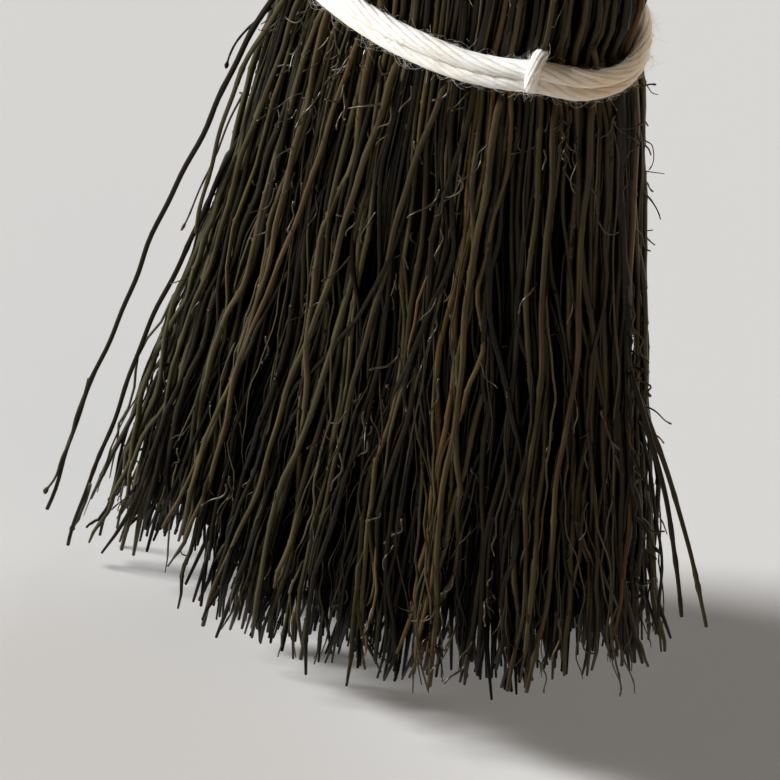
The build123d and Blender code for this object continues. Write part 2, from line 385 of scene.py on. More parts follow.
STRAW_TONES = [
    (0.0, (0.003, 0.002, 0.0007)),
    (0.34, (0.0075, 0.0055, 0.0021)),
    (0.60, (0.020, 0.018, 0.008)),
    (0.80, (0.040, 0.0385, 0.020)),
    (0.94, (0.054, 0.045, 0.021)),
    (0.995, (0.064, 0.040, 0.015)),
]
BROWN_TONES = [
    (0.0, (0.028, 0.024, 0.012)),
    (0.5, (0.043, 0.037, 0.018)),
    (1.0, (0.056, 0.043, 0.020)),
]
straw = straw_material("straw", STRAW_TONES)
# Darker copies of the same dyed straw for the layers that lie deeper: their lower gain is painted shade.
under_straw_painted_shade = straw_material("under_straw_painted_shade", STRAW_TONES, 0.3)
deep_straw_painted_shade = straw_material("deep_straw_painted_shade", STRAW_TONES, 0.08, 0.03)
fine_straw = straw_material("fine_straw", STRAW_TONES, 1.2, 0.3)
twig_skin = straw_material("twig_skin", BROWN_TONES, 0.8, 0.4, (0.26, 0.44), (1.0, 1.0, 1.0, 1.0))
brown_straw = straw_material("brown_straw", BROWN_TONES)
stem_skin = straw_material("stem_skin", STRAW_TONES, 1.3)
pith = pith_material()
cotton = cotton_material()


# ---------------------------------------------------------------- straw


def even_angles(rng, count, low, high):
    """Angles between low and high that lie evenly along the head's outline at the lower band."""
    a, b = half_sizes(BAND_Z["lower"])
    t = np.linspace(low, high, 2000)
    length = np.concatenate([[0], np.hypot(np.diff(a * np.cos(t)), np.diff(b * np.sin(t))).cumsum()])
    wanted = (np.arange(count) + rng.uniform(-0.45, 0.45, count) + 0.5) / count * length[-1]
    return np.interp(wanted, length, t)


def fan_point(angle, depth, z):
    """A point of the fan: angle round the head, depth from 0 at the stick to 1 at its surface."""
    a, b = half_sizes(z)
    outer = np.stack([(a - SKIN) * np.cos(angle), (b - SKIN) * np.sin(angle)], -1)
    reach = np.linalg.norm(outer, axis=-1, keepdims=True)
    inner = outer / reach * np.minimum(stick_r(z)[..., None] + 0.6, reach - 1.0)
    return inner + (outer - inner) * depth[..., None]


def wander(rng, z, reach, wave):
    """Soft side steps along each straw: sine waves with their own length and phase."""
    out = np.zeros((*z.shape, 2))
    for axis in (0, 1):
        for scale, share in ((1.0, 0.6), (0.43, 0.28), (0.19, 0.12)):
            length = wave * scale * rng.uniform(0.7, 1.4, (len(z), 1))
            phase = rng.uniform(0, 2 * np.pi, (len(z), 1))
            out[..., axis] += share * np.sin(2 * np.pi * z / length + phase)
    return out * reach


def kinks(rng, z, knots, reach):
    """Small straight-sided bends between the knots of each straw."""
    out = np.zeros((*z.shape, 2))
    for row, heights in enumerate(knots):
        for axis in (0, 1):
            out[row, :, axis] = np.interp(-z[row], -heights, rng.normal(0, reach, len(heights)))
    return out


def rings_with_knots(rng, top, tip, rings, knot_count):
    """Ring heights of each straw, with three rings close together at each knot."""
    length = (top - tip)[:, None]
    spots = (np.arange(knot_count) + rng.uniform(0.15, 0.85, (len(top), knot_count))) / knot_count
    even = np.linspace(0, 1, rings - 3 * knot_count)[None].repeat(len(top), 0)
    near = 1.1 / length
    share = np.concatenate([even, spots - near, spots, spots + near], 1)
    beside_knot = np.zeros_like(spots)
    swell = np.concatenate([np.zeros_like(even), beside_knot, np.ones_like(spots), beside_knot], 1)
    order = np.argsort(share, 1)
    share = np.clip(np.take_along_axis(share, order, 1), 0, 1)
    swell = np.take_along_axis(swell, order, 1)
    gap_needed = 2e-4 * np.arange(rings)
    share = np.maximum.accumulate(share - gap_needed, 1) + gap_needed
    share = share / share[:, -1:]
    return top[:, None] - share * length, swell, top[:, None] - spots * length


def shared_bend(angle, z):
    """The side step that neighbouring straws share, in millimetres."""
    slow = np.sin(z / 25 + 4 * np.sin(3 * angle + 1))
    quick = np.sin(z / 11 + 5 * np.sin(5 * angle + 2))
    return 1.7 * slow + 0.7 * quick


def straws(rng, angle, depth, top, options):
    """A batch of straws of the fan from top down to the worn tips."""
    o = {"d": (1.5, 2.1), "rings": 56, "knots": 9, "sides": 6, "spread": 1.0, "clumps": 26, "short": 0.08,
         "drift": 0.02, "sway": 1.2, "kink": 0.36, "wander": 1.0, "lift": 0.0, "forks": 0.4, **options}
    count = len(angle)
    clump_angle = even_angles(rng, o["clumps"], angle.min(), angle.max() + 1e-6)
    clump_depth = rng.uniform(depth.min(), depth.max() + 1e-6, o["clumps"])
    apart = np.abs(angle[:, None] - clump_angle) * 30 + np.abs(depth[:, None] - clump_depth) * 25
    mine = apart.argmin(1)
    clump_move = rng.normal(0, 1, (o["clumps"], 2)) * (2.8, 1.6)
    clump_length = rng.exponential(3.0, o["clumps"])

    tip_x = FOOT_HALF_WIDTH * np.cos(angle) * depth
    tip_y = FOOT_HALF_DEPTH * np.sin(angle) * depth
    tip = foot_z(tip_x, tip_y) + 0.6 + clump_length[mine] + rng.exponential(2.4, count)
    tip += (rng.uniform(size=count) < o["short"]) * rng.uniform(6, 40, count)
    z, swell, knots = rings_with_knots(rng, top, tip, o["rings"], o["knots"])

    below = smooth((BAND_Z["lower"] + 10 - z) / BAND_Z["lower"])
    loose = smooth((170 - z) / 170) ** 1.3
    drift = rng.normal(0, o["drift"], (count, 1)) * below * 2
    tucked = 0.16 * smooth((z - top[:, None] + 45) / 45) * (top[:, None] < HEAD_TOP - 12)
    depth_here = depth[:, None] - tucked + o["lift"] * below
    freed = 1 - np.exp(-(((z - BAND_Z["lower"]) / 45) ** 2))
    sway = wander(rng, z, o["sway"], 210.0)[..., 0] + shared_bend(angle[:, None], z)
    sway = sway * freed / half_sizes(z)[0]
    here = fan_point(angle[:, None] + drift + sway, depth_here, z)
    gather = fan_point(np.broadcast_to(clump_angle[mine][:, None], z.shape), clump_depth[mine][:, None], z)
    pull = loose * rng.uniform(0.45, 0.9, (count, 1))
    here += (gather - here) * pull[..., None] * 0.8
    here += clump_move[mine][:, None] * loose[..., None] * o["spread"]
    splay = rng.normal(0, 1, (count, 1, 2)) * (2.2, 1.5) * o["spread"]
    here += splay * loose[..., None]
    # the last few millimetres of each straw bend aside, by draws of their own
    hooks = np.random.default_rng(count)
    at_tip = smooth((16 - (z - tip[:, None])) / 16) ** 1.5
    here += hooks.normal(0, 1.7, (count, 1, 2)) * at_tip[..., None]
    slack = (0.18 + 0.82 * below)[..., None]
    here += wander(rng, z, 1.2 * o["wander"], 95.0) * slack
    here += kinks(rng, z, knots, o["kink"]) * slack

    size = rng.uniform(*o["d"], (count, 1)) / 2
    taper = 1.18 - 0.26 * smooth((HEAD_TOP - z) / HEAD_TOP) - 0.12 * smooth((40 - (z - tip[:, None])) / 40)
    radii = size * taper * (1 + 0.26 * swell) * (1 + 0.05 * rng.normal(0, 1, z.shape))
    radii *= 1 - 0.34 * smooth((12 - (z - tip[:, None])) / 12)
    radii[:, -1] *= 0.85
    paths = np.concatenate([here, z[..., None]], -1)
    forked = rng.uniform(size=count) < o["forks"]
    made = [tubes(paths, radii, o["sides"], flat=0.86)]
    if forked.any():
        made.append(fork(rng, paths[forked], radii[forked]))
    return made


def fork(rng, paths, radii, rings=14):
    """A thinner branch that leaves each straw near its tip and runs down beside it."""
    count, last = len(paths), paths.shape[1] - 1
    start = rng.uniform(0.78, 0.94, (count, 1)) * last
    reach = rng.uniform(0.7, 1.05, (count, 1))
    s = np.linspace(0, 1, rings)[None]
    at = np.clip(start + s * reach * (last - start), 0, last)
    low = np.minimum(at.astype(int), last - 1)
    share = (at - low)[..., None]
    row = np.arange(count)[:, None]
    along = paths[row, low] * (1 - share) + paths[row, low + 1] * share
    side = rng.normal(0, 1, (count, 1, 2)) * (2.0, 1.4)
    along[..., :2] += side * (s[..., None] ** 1.3) + rng.normal(0, 0.12, (count, rings, 2)) * s[..., None]
    width = radii[row, low] * (0.72 - 0.2 * s)
    return tubes(along, width, 5)


def upper_ends(rng, count, stalk_share, low=290.0, high=485.0):
    """Where straws start: some at the trimmed neck, the rest branch off lower down, under the surface."""
    starts = rng.uniform(low, high, count)
    at_neck = rng.uniform(size=count) < stalk_share
    return np.where(at_neck, HEAD_TOP + rng.uniform(-1.0, 5.0, count), starts)


def cover_side(side, low, high, seed):
    """The front or back half of the cover: four layers of straw, then crossing straws and finer fibres."""
    rng = np.random.default_rng(seed)
    layers = []
    outer = {"d": (1.3, 2.1), "rings": 92, "knots": 15, "drift": 0.05, "sway": 1.4, "spread": 1.1}
    second = {"d": (1.2, 2.0), "rings": 72, "knots": 11, "drift": 0.06, "sway": 1.8, "spread": 1.2}
    third = {"d": (1.3, 2.1), "rings": 52, "knots": 7, "drift": 0.035}
    fourth = {"d": (1.4, 2.1), "rings": 36, "knots": 5, "sides": 5}
    # nearly all straws of the lower layers reach the neck, so that nothing shows through under its whipping
    for depth, spread, count, at_neck, options in (
        (0.99, 0.015, 46, 0.5, outer),
        (0.915, 0.025, 60, 0.85, second),
        (0.85, 0.02, 62, 0.97, third),
        (0.80, 0.02, 60, 0.97, fourth),
    ):
        angle = even_angles(rng, count, low, high)
        depths = depth + rng.uniform(-spread, spread, count)
        top = upper_ends(rng, count, at_neck)
        layers.append(straws(rng, angle, depths, top, options))
    cover = [f"cover_corn_{side}"]
    piece(f"cover_straw_{side}", layers[0], [straw, pith], cover)
    # The second layer and the two deepest layers take the darker straw copies: painted shade.
    piece(f"under_straw_painted_shade_{side}", layers[1], [under_straw_painted_shade, pith], cover)
    piece(f"deep_straw_painted_shade_{side}", layers[2] + layers[3], [deep_straw_painted_shade, deep_straw_painted_shade], cover)

    crossing = even_angles(rng, 32, low, high)
    depths = rng.uniform(0.985, 1.02, len(crossing))
    top = rng.uniform(190, 340, len(crossing))
    across = straws(rng, crossing, depths, top, {
        "d": (1.2, 2.2), "rings": 88, "knots": 13, "drift": 0.12, "sway": 4.5, "lift": 0.02, "spread": 1.2,
        "kink": 0.5, "wander": 1.6, "short": 0.3})
    fine = even_angles(rng, 90, low, high)
    depths = rng.uniform(0.93, 1.02, len(fine))
    top = rng.uniform(70, 330, len(fine))
    thin = straws(rng, fine, depths, top, {
        "d": (0.45, 0.95), "rings": 72, "knots": 12, "sides": 5, "drift": 0.07, "lift": 0.015, "spread": 1.2,
        "kink": 0.6, "wander": 2.2, "short": 0.6})
    piece(f"crossing_straw_{side}", across, [straw, pith])
    piece(f"fine_straw_{side}", thin, [fine_straw, pith])


def bundles(seed):
    """The inner bundle and the two shoulder bundles, which fill the head and show between the tips."""
    rng = np.random.default_rng(seed)
    count = 640
    angle = rng.uniform(0, 2 * np.pi, count)
    depth = np.sqrt(rng.uniform(0.0, 0.8, count))
    where = fan_point(angle, depth, np.full(count, BAND_Z["lower"]))[:, 0]
    reach = box_mm("inner_corn")[1][0]
    groups = {
        "inner": np.abs(where) <= reach,
        "left_shoulder": where < -reach,
        "right_shoulder": where > reach,
    }
    for name, chosen in groups.items():
        top = rng.uniform(330, 450, chosen.sum())
        batch = straws(rng, angle[chosen], depth[chosen], top, {
            "d": (1.5, 2.3), "rings": 26, "knots": 4, "sides": 5, "clumps": 40, "spread": 0.9, "short": 0.12})
        replaced = [f"{name}_corn"]
        # The bundles inside take the darkest straw copy: painted shade.
        piece(f"{name}_straw", batch, [deep_straw_painted_shade, deep_straw_painted_shade], replaced)


def curls(rng, start, away, rings=16, length=(4, 14), thick=(0.35, 0.8), bud=1.6):
    """Short side twigs that bend away from the straw and end in a small bud."""
    count = len(start)
    down = np.array([0.0, 0.0, -1.0])
    side = away + rng.normal(0, 0.7, away.shape)
    side -= down * (side @ down)[:, None]
    side /= np.linalg.norm(side, axis=1, keepdims=True)
    other = np.cross(side, down)
    size = rng.uniform(*length, (count, 1))
    s = np.linspace(0, 1, rings)[None]
    lean = rng.normal(0.25, 0.35, (count, 1)) + rng.normal(0, 0.8, (count, 1)) * s
    lean = lean + 0.5 * np.sin(s * rng.uniform(3, 9, (count, 1)) + rng.uniform(0, 6, (count, 1)))
    swing = rng.normal(0, 0.8, (count, 1)) * s + 0.4 * np.sin(s * rng.uniform(4, 10, (count, 1)))
    head = (np.cos(lean) * np.cos(swing))[..., None] * down + np.sin(lean)[..., None] * side[:, None]
    head = head + (np.cos(lean) * np.sin(swing))[..., None] * other[:, None]
    steps = head * (size / (rings - 1))[..., None]
    path = start[:, None] + np.concatenate([np.zeros((count, 1, 3)), steps[:, :-1].cumsum(1)], 1)
    path[..., 2] = np.maximum(path[..., 2], 0.6)
    radii = rng.uniform(*thick, (count, 1)) / 2 * (1 - 0.45 * s)
    budded = rng.uniform(size=(count, 1)) < 0.45
    swell = np.where(budded, bud, 1.0) - 1
    radii = radii * (1 + swell * np.exp(-(((s - 0.94) / 0.05) ** 2)))
    radii = radii * (1 + 0.25 * (rng.uniform(size=radii.shape) < 0.12))
    return tubes(path, radii, 5)


def twigs(seed):
    """Side twigs over the whole fan, many of them in small tangles."""
    rng = np.random.default_rng(seed)
    for side, low, high in (("front", np.pi, 2 * np.pi), ("back", 0.0, np.pi)):
        tangle_z = rng.uniform(18, 330, TANGLE_COUNT)
        tangle_angle = even_angles(rng, TANGLE_COUNT, low, high)
        pick = rng.integers(0, TANGLE_COUNT, TANGLED_TWIGS)
        beside = rng.normal(0, 0.035, TANGLED_TWIGS)
        angle = np.concatenate([tangle_angle[pick] + beside, even_angles(rng, SINGLE_TWIGS, low, high)])
        tangled_z = tangle_z[pick] + rng.normal(0, 7, TANGLED_TWIGS)
        z = np.concatenate([tangled_z, rng.uniform(12, 400, SINGLE_TWIGS)])
        for at in BAND_Z.values():
            z = np.where(np.abs(z - at - 9) < 15, z - 32, z)
        tips = foot_z(FOOT_HALF_WIDTH * np.cos(angle), FOOT_HALF_DEPTH * np.sin(angle))
        z = np.maximum(z, tips + rng.uniform(12, 34, len(z)))
        depth = rng.uniform(0.96, 1.02, len(z))
        place = fan_point(angle, depth, z)
        start = np.concatenate([place, z[:, None]], 1)
        away = np.stack([0.5 * np.cos(angle), 1.6 * np.sin(angle), np.zeros(len(z))], 1)
        piece(f"twigs_{side}", [curls(rng, start, away)], [twig_skin])


def bent_straw(rng, points, size, rings=60, knots=7):
    """One straw along a smooth row of points, with knots and small bends."""
    reach = np.concatenate([[0], np.linalg.norm(np.diff(points, axis=0), axis=1).cumsum()])
    s = np.linspace(0, reach[-1], rings)
    path = np.stack([np.interp(s, reach, points[:, axis]) for axis in range(3)], -1)
    for axis in range(2):
        phase = rng.uniform(0, 6.3, 2)
        path[:, axis] += 0.35 * np.sin(s / 11 + phase[0]) + 0.18 * np.sin(s / 4.5 + phase[1])
    radii = size / 2 * (1 - 0.35 * s / reach[-1])
    for knot in rng.uniform(0.1, 0.95, knots) * reach[-1]:
        radii = radii + 0.07 * size * np.exp(-(((s - knot) / 1.4) ** 2))
    if size < 1:
        radii = radii + 0.5 * size * np.exp(-(((s - reach[-1] + 1) / 0.8) ** 2))
    path[:, 0] = np.clip(path[:, 0], -STRAY_X + size / 2, STRAY_X - size / 2)
    return tubes(path[None], radii[None], 7)


def bowed(rng, root, tip, bow, curl=0.0):
    """Points from root to tip, bowed out along X by bow, with soft curls of the given size."""
    root, tip = np.array(root, float), np.array(tip, float)
    s = np.linspace(0, 1, 40)
    points = root + (tip - root) * s[:, None]
    points[:, 0] += 4 * bow * s * (1 - s)
    waves = rng.uniform(2.0, 3.5, 2)
    points[:, 0] += curl * np.sin(2 * np.pi * waves[0] * s) * s
    points[:, 2] += 0.6 * curl * np.sin(2 * np.pi * waves[1] * s) * s
    return points


def loose_straws():
    """Single straws that splay out at both sides of the fan, and thin curly side twigs at the right."""
    rng = np.random.default_rng(77)
    # root, tip, bow, curl, thickness
    left = [
        ((-41, -10, 240), (-90, -11, 16), -4.0, 0.0, 1.6),
        ((-83, -11, 66), (-90, -12, 22), 0.5, 0.5, 0.9),
        ((-50, -6, 172), (-83, -10, 6), -3.0, 0.0, 1.5),
        ((-79, -10, 30), (-84, -8, 9), 1.0, 0.0, 0.9),
        ((-53, 3, 158), (-79, 0, 3), -4.0, 0.0, 1.2),
        ((-38, -14, 235), (-59, -11, 130), -5.0, 0.0, 1.5),
        ((-48, -10, 212), (-58, -8, 185), -1.5, 0.0, 0.7),
        ((-50, 0, 205), (-69, 2, 115), 1.0, 0.0, 0.7),
    ]
    right = [
        ((59, -6, 140), (83, -8, 69), 2.0, 0.0, 1.6),
        ((61, -2, 128), (88, -4, 65), 2.0, 0.0, 1.5),
        ((60, 2, 120), (73, 3, 50), 2.0, 0.0, 1.0),
    ]
    curly_count = 8
    for height in np.linspace(168, 84, curly_count):
        edge = half_sizes(height)[0] - 2
        reach = rng.uniform(5, 11)
        drop = rng.uniform(6, 36)
        right.append(((edge, -5, height), (edge + reach, -6, height - drop), rng.uniform(-1, 1), 1.3, 0.65))
    for side, rows in (("left", left), ("right", right)):
        batches = []
        for root, tip, bow, curl, size in rows:
            batches.append(bent_straw(rng, bowed(rng, root, tip, bow, curl), size))
        piece(f"loose_straws_{side}_bent", batches, [straw, pith], [f"loose_straws_{side}"])


def face_straws():
    """Thicker brown straws that lie on the front of the fan, from under the cord to the tips."""
    rng = np.random.default_rng(78)
    top_z = BAND_Z["lower"] + 8
    # x under the cord, x at the tip, bow, thickness
    rows = [
        (-34, -66, -3.0, 1.6),
        (-28, -46, 2.0, 1.7),
        (-16, -54, 3.0, 1.5),
        (-5, -38, 2.0, 1.8),
        (9, -10, -4.0, 1.7),
        (21, 25, -2.0, 2.0),
        (32, 46, 1.0, 1.7),
        (39, 50, 3.0, 1.8),
    ]
    batches = []
    for x_top, x_tip, bow, size in rows:
        tip_z = foot_z(x_tip, -FOOT_HALF_DEPTH / 2) + 4
        points = bowed(rng, (x_top, 0, top_z), (x_tip, 0, tip_z), bow, 0.8)
        a, b = half_sizes(points[:, 2])
        out = np.where(np.arange(len(points)) < 4, -2.5, 0.2)
        points[:, 1] = -(b + out) * np.sqrt(1 - (points[:, 0] / (a + 1)) ** 2)
        batches.append(bent_straw(rng, points, size, 110, 14))
    piece("face_straws", batches, [brown_straw, pith])


# ---------------------------------------------------------------- cord


def plies(path, outward, d, count, pitch, sides=9, swell=None):
    """Twists several plies round a path, each with slow changes of thickness."""
    step = np.linalg.norm(np.diff(path, axis=0), axis=1)
    s = np.concatenate([[0], step.cumsum()])
    tangent = np.gradient(path, axis=0)
    tangent /= np.linalg.norm(tangent, axis=1, keepdims=True)
    normal = outward - tangent * (outward * tangent).sum(1, keepdims=True)
    normal /= np.linalg.norm(normal, axis=1, keepdims=True)
    binormal = np.cross(tangent, normal)
    full = np.ones(len(s)) if swell is None else swell
    ply_r = d / 2 * PLY_SHARE[count]
    centre_r = d / 2 - ply_r * 0.96
    paths, radii = [], []
    for ply in range(count):
        turn = 2 * np.pi * (ply / count + s / pitch)
        side = np.cos(turn)[:, None] * normal + np.sin(turn)[:, None] * binormal
        paths.append(path + side * (centre_r * full)[:, None])
        radii.append(ply_r * full * (1 + 0.05 * np.sin(s / 3.1 + 2.1 * ply) + 0.03 * np.sin(s / 1.3 + ply)))
    if count > 3:
        paths.append(path)
        radii.append(full * centre_r * 1.02)
    return tubes(np.array(paths), np.array(radii), sides)


def fuzz(rng, path, outward, d, count, length=(1.5, 5.5), lift=(0.05, 0.55), thick=0.032):
    """Loose cotton hairs that stand off the cord, or lie along it with little lift."""
    spot = rng.integers(2, len(path) - 2, count)
    tangent = path[spot + 1] - path[spot - 1]
    tangent /= np.linalg.norm(tangent, axis=1, keepdims=True)
    out = outward[spot]
    up = np.cross(tangent, out)
    angle = rng.uniform(0, 2 * np.pi, (count, 1))
    radial = np.cos(angle) * out + np.sin(angle) * up
    sideways = -np.sin(angle) * out + np.cos(angle) * up
    sign = rng.choice([-1.0, 1.0], (count, 1))
    size = rng.uniform(*length, (count, 1))
    rise = rng.uniform(*lift, (count, 1))
    s = np.linspace(0, 1, 6)[None, :, None]
    curl = rng.normal(0, 0.5, (count, 1))
    start = path[spot] + radial * d * 0.44
    hair = start[:, None] + (sign * tangent * size)[:, None] * s
    hair = hair + (radial * size * rise)[:, None] * np.sin(s * np.pi * rng.uniform(0.4, 1.0, (count, 1, 1)))
    hair = hair + (sideways * size * curl)[:, None] * s * s
    radii = np.full((count, 6), thick) * np.linspace(1.0, 0.5, 6)
    return tubes(hair, radii, 3)


def around_head(z, grow, samples, start, turns=1.0):
    """Points round the head at a height, evenly spaced, grown outwards; with their outward directions."""
    a, b = half_sizes(np.array(z))
    t = np.linspace(0, 2 * np.pi, 4000)
    length = np.concatenate([[0], np.hypot(np.diff(a * np.cos(t)), np.diff(b * np.sin(t))).cumsum()])
    begin = np.interp(start, t, length)
    wanted = begin + np.linspace(0, turns * length[-1], samples)
    angle = np.interp(wanted % length[-1], length, t)
    out = np.stack([np.cos(angle) / a, np.sin(angle) / b, np.zeros(samples)], -1)
    out /= np.linalg.norm(out, axis=1, keepdims=True)
    rim = np.stack([a * np.cos(angle), b * np.sin(angle), np.full(samples, float(z))], -1)
    return rim + out * grow, out, wanted - begin


def loop_place(level, side):
    low, high = box_mm(f"{level}_band_loop_{side}")
    return (low + high) / 2


def band(level, seed):
    """Two turns of one soft cord round the head, nipped at its lock loops, its ends pushed into the straw."""
    rng = np.random.default_rng(seed)
    z = BAND_Z[level]
    begin = 0.5 * np.pi
    path, out, s = around_head(z, YARN_D / 2 - 0.5, 900, begin, 2.0)
    half = len(path) // 2
    upper_turn = 1 - 2 * smooth((np.arange(len(path)) - half + 18) / 36)
    nip = np.zeros(len(path))
    sag = np.zeros(len(path))
    for side in ("front", "back"):
        place = loop_place(level, side)
        gap = np.linalg.norm(path[:, :2] - place[:2], axis=1)
        nip = np.maximum(nip, np.exp(-((gap / 3.0) ** 2)))
        beyond = (path[:, 0] - place[0]) * (1 if side == "front" else -1)
        facing = path[:, 1] * np.sign(place[1])
        sag += smooth((beyond - 1) / 11) * smooth((facing + 12) / 18)
    offset = YARN_D * (0.45 - 0.12 * nip + 0.04 * sag)
    drift = 0.25 * np.sin(s / 17 + seed) + 0.15 * np.sin(s / 6.1 + 2 * seed)
    tilt = 2.4 - 1.4 * smooth((path[:, 0] - 8) / 24)
    at_side = smooth((np.abs(path[:, 0]) - 34) / 11)
    path[:, 2] += upper_turn * offset * (1 - 0.1 * at_side) + drift - tilt - sag * (2.2 + 1.4 * at_side)
    path += out * (0.18 * np.sin(s / 9 + seed) - 0.35 * nip + 0.25 * sag)[:, None]
    from_end = np.minimum(np.arange(len(path)), np.arange(len(path))[::-1])
    path -= out * (BAND_END_TUCK * smooth((BAND_END_SAMPLES - from_end) / BAND_END_SAMPLES))[:, None]
    swell = 1.14 + 0.05 * np.sin(s / 13 + seed) - 0.26 * nip + 0.03 * sag - 0.2 * at_side
    yarn = plies(path, out, YARN_D, 9, 44.0, 8, swell)
    piece(f"{level}_band_cord", [yarn], [cotton], [f"{level}_band"])
    standing = fuzz(rng, path, out, YARN_D, STANDING_HAIRS)
    lying = fuzz(rng, path, out, YARN_D * 1.08, LYING_HAIRS, (2.0, 6.0), (0.0, 0.05), 0.03)
    piece(f"{level}_band_fuzz", [standing, lying], [cotton], [f"{level}_band"])
    for side in ("front", "back"):
        lock_loop(level, side, rng)


def lock_loop(level, side, rng):
    """A short loop of cord that comes out of the straw above the band and goes back in below it."""
    place = loop_place(level, side)
    a, b = half_sizes(np.array(BAND_Z[level]))
    out = np.array([place[0] / a**2, place[1] / b**2, 0.0])
    out /= np.linalg.norm(out)
    rim = np.array([place[0], np.sign(place[1]) * b * math.sqrt(1 - (place[0] / a) ** 2), BAND_Z[level]])
    along = np.cross([0.0, 0.0, 1.0], out)
    turn = np.linspace(-LOOP_HALF_TURN, LOOP_HALF_TURN, 60)
    path = rim + out * (YARN_D / 2 - 0.7)
    up = np.array([0, 0, 1.0])
    path = path + np.cos(turn)[:, None] * out * LOOP_OUT + np.sin(turn)[:, None] * up * LOOP_HALF_HEIGHT
    slant = LOOP_SLANT * smooth(turn / LOOP_HALF_TURN)
    path = path + along * slant[:, None] + np.array([0, 0, LOOP_RISE])
    direction = np.cos(turn)[:, None] * out + np.sin(turn)[:, None] * up
    yarn = plies(path, direction, LOOP_D, 9, 36.0, 8)
    hairs = fuzz(rng, path, direction, LOOP_D, LOOP_HAIRS, (1.0, 3.5))
    name = f"{level}_band_loop_{side}"
    piece(f"{name}_cord", [yarn, hairs], [cotton], [name])


def whipping(node, d, seed):
    """Cord wound tight round the neck or the stems, its two ends tucked under its own turns."""
    rng = np.random.default_rng(seed)
    low, high = box_mm(node)
    turns = round((high[2] - low[2]) / d)
    r = high[0] - d / 2
    samples = turns * 100
    angle = np.linspace(0, 2 * np.pi * turns, samples) + seed
    z = low[2] + d / 2 + (turns - 1) * d * np.linspace(0, 1, samples)
    tuck = 3.0 * (smooth((40 - np.arange(samples)) / 40) + smooth((np.arange(samples) - samples + 40) / 40))
    uneven = 0.12 * np.sin(angle * 0.37 + seed) + 0.08 * np.sin(angle * 1.7)
    reach = r - tuck + uneven
    path = np.stack([reach * np.cos(angle), reach * np.sin(angle), z + 0.1 * np.sin(angle * 0.61)], -1)
    out = np.stack([np.cos(angle), np.sin(angle), np.zeros(samples)], -1)
    cord = plies(path, out, d * 1.04, 3, 9.0, 8)
    hairs = fuzz(rng, path, out, d, 110 * turns, (1.0, 3.5))
    piece(f"{node}_cord", [cord, hairs], [cotton], [node])


# ---------------------------------------------------------------- plaited stems

WEAVE_LOW_Z = box_mm("weaving_cord")[0][2]
WEAVE_D = 2.2
WEAVE_PITCH = 9.0
WEAVE_TURNS = 7


def weave_sign(stem, turn_number):
    """+1 where the cord passes over a stem, -1 where it passes under: it alternates stem by stem."""
    return 1 if (turn_number * STEM_COUNT + stem) % 2 == 0 else -1


def woven_neck():
    """Stems side by side round the stick, and the cord that climbs through them."""
    rng = np.random.default_rng(5)
    rings = 130
    z = np.linspace(STEM_FOOT - 8, STEM_TOP - 0.5, rings)
    first_z = WEAVE_LOW_Z + WEAVE_D / 2
    paths, radii = [], []
    for stem in range(STEM_COUNT):
        angle = 2 * np.pi * stem / STEM_COUNT
        r = np.full(rings, STEM_RING_R)
        for turn_number in range(WEAVE_TURNS + 1):
            crossing = first_z + WEAVE_PITCH * (turn_number + stem / STEM_COUNT)
            if crossing <= first_z + WEAVE_PITCH * WEAVE_TURNS:
                bulge = np.exp(-(((z - crossing) / 3.3) ** 2))
                r = r + bulge * (1.15 if weave_sign(stem, turn_number) < 0 else -0.2)
        sway = 0.02 * np.sin(z / 23 + stem) + rng.normal(0, 0.006)
        paths.append(np.stack([r * np.cos(angle + sway), r * np.sin(angle + sway), z], -1))
        knot = np.exp(-(((z - rng.uniform(z[20], z[-20])) / 1.2) ** 2))
        radii.append(np.full(rings, rng.uniform(2.1, 2.35)) * (1 + 0.12 * knot))
    paths, radii = np.array(paths), np.array(radii)
    paths[:, -1, 2] += rng.uniform(-0.8, 0.4, STEM_COUNT)
    stems = tubes(paths, radii, 12)
    piece("woven_stems", [stems], [stem_skin, pith], ["plaited_stems"])

    samples = WEAVE_TURNS * STEM_COUNT * 12
    turn = np.linspace(0, WEAVE_TURNS, samples)
    at_stem = turn * STEM_COUNT
    sign = np.cos(np.pi * at_stem)
    r = STEM_RING_R + 0.3 + 2.55 * np.sign(sign) * np.abs(sign) ** 0.7 + 0.35
    angle = 2 * np.pi * turn
    path = np.stack([r * np.cos(angle), r * np.sin(angle), first_z + WEAVE_PITCH * turn], -1)
    out = np.stack([np.cos(angle), np.sin(angle), np.zeros(samples)], -1)
    cord = plies(path, out, WEAVE_D, 3, 7.0, 8)
    hairs = fuzz(rng, path, out, WEAVE_D, 700, (0.8, 2.6))
    piece("weaving_cord_through", [cord, hairs], [cotton], ["weaving_cord"])


